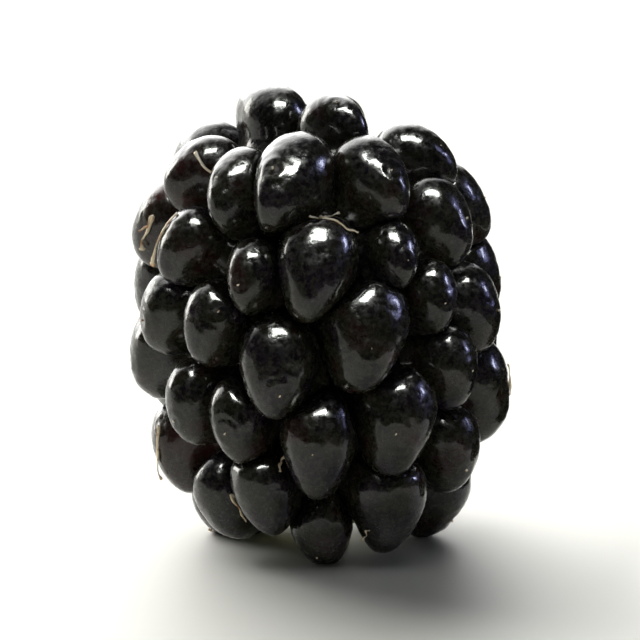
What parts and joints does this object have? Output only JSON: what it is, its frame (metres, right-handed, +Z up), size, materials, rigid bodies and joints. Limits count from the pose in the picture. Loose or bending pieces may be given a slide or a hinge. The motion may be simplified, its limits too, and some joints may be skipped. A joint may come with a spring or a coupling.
{
  "type": "bramble berry",
  "caption": "Ripe black bramble berry, picked without its calyx: glossy drupelets packed round a pale receptacle, standing on its stem end.",
  "frame": {"origin": "on the table under the middle of the berry's bounding box, where its lowest drupelets rest", "axes": "+Z up from the stem end to the tip, -Y towards the viewer of the picture, +X to that viewer's right"},
  "size_m": [0.0198, 0.02, 0.0241],
  "materials": {
    "drupelet_skin": null,
    "receptacle_pith": null,
    "dried_style": "dry thread, reddish brown; used only by the visual layer"
  },
  "bodies": {
    "root": {"receptacle": "receptacle_pith", "drupelet_01": "drupelet_skin", "drupelet_02": "drupelet_skin", "drupelet_03": "drupelet_skin", "drupelet_04": "drupelet_skin", "drupelet_05": "drupelet_skin", "drupelet_06": "drupelet_skin", "drupelet_07": "drupelet_skin", "drupelet_08": "drupelet_skin", "drupelet_09": "drupelet_skin", "drupelet_10": "drupelet_skin", "drupelet_11": "drupelet_skin", "drupelet_12": "drupelet_skin", "drupelet_13": "drupelet_skin", "drupelet_14": "drupelet_skin", "drupelet_15": "drupelet_skin", "drupelet_16": "drupelet_skin", "drupelet_17": "drupelet_skin", "drupelet_18": "drupelet_skin", "drupelet_19": "drupelet_skin", "drupelet_20": "drupelet_skin", "drupelet_21": "drupelet_skin", "drupelet_22": "drupelet_skin", "drupelet_23": "drupelet_skin", "drupelet_24": "drupelet_skin", "drupelet_25": "drupelet_skin", "drupelet_26": "drupelet_skin", "drupelet_27": "drupelet_skin", "drupelet_28": "drupelet_skin", "drupelet_29": "drupelet_skin", "drupelet_30": "drupelet_skin", "drupelet_31": "drupelet_skin", "drupelet_32": "drupelet_skin", "drupelet_33": "drupelet_skin", "drupelet_34": "drupelet_skin", "drupelet_35": "drupelet_skin", "drupelet_36": "drupelet_skin", "drupelet_37": "drupelet_skin", "drupelet_38": "drupelet_skin", "drupelet_39": "drupelet_skin", "drupelet_40": "drupelet_skin", "drupelet_41": "drupelet_skin", "drupelet_42": "drupelet_skin", "drupelet_43": "drupelet_skin", "drupelet_44": "drupelet_skin", "drupelet_45": "drupelet_skin", "drupelet_46": "drupelet_skin", "drupelet_47": "drupelet_skin", "drupelet_48": "drupelet_skin", "drupelet_49": "drupelet_skin", "drupelet_50": "drupelet_skin", "drupelet_51": "drupelet_skin", "drupelet_52": "drupelet_skin", "drupelet_53": "drupelet_skin", "drupelet_54": "drupelet_skin", "drupelet_55": "drupelet_skin", "drupelet_56": "drupelet_skin"}
  },
  "joints": []
}
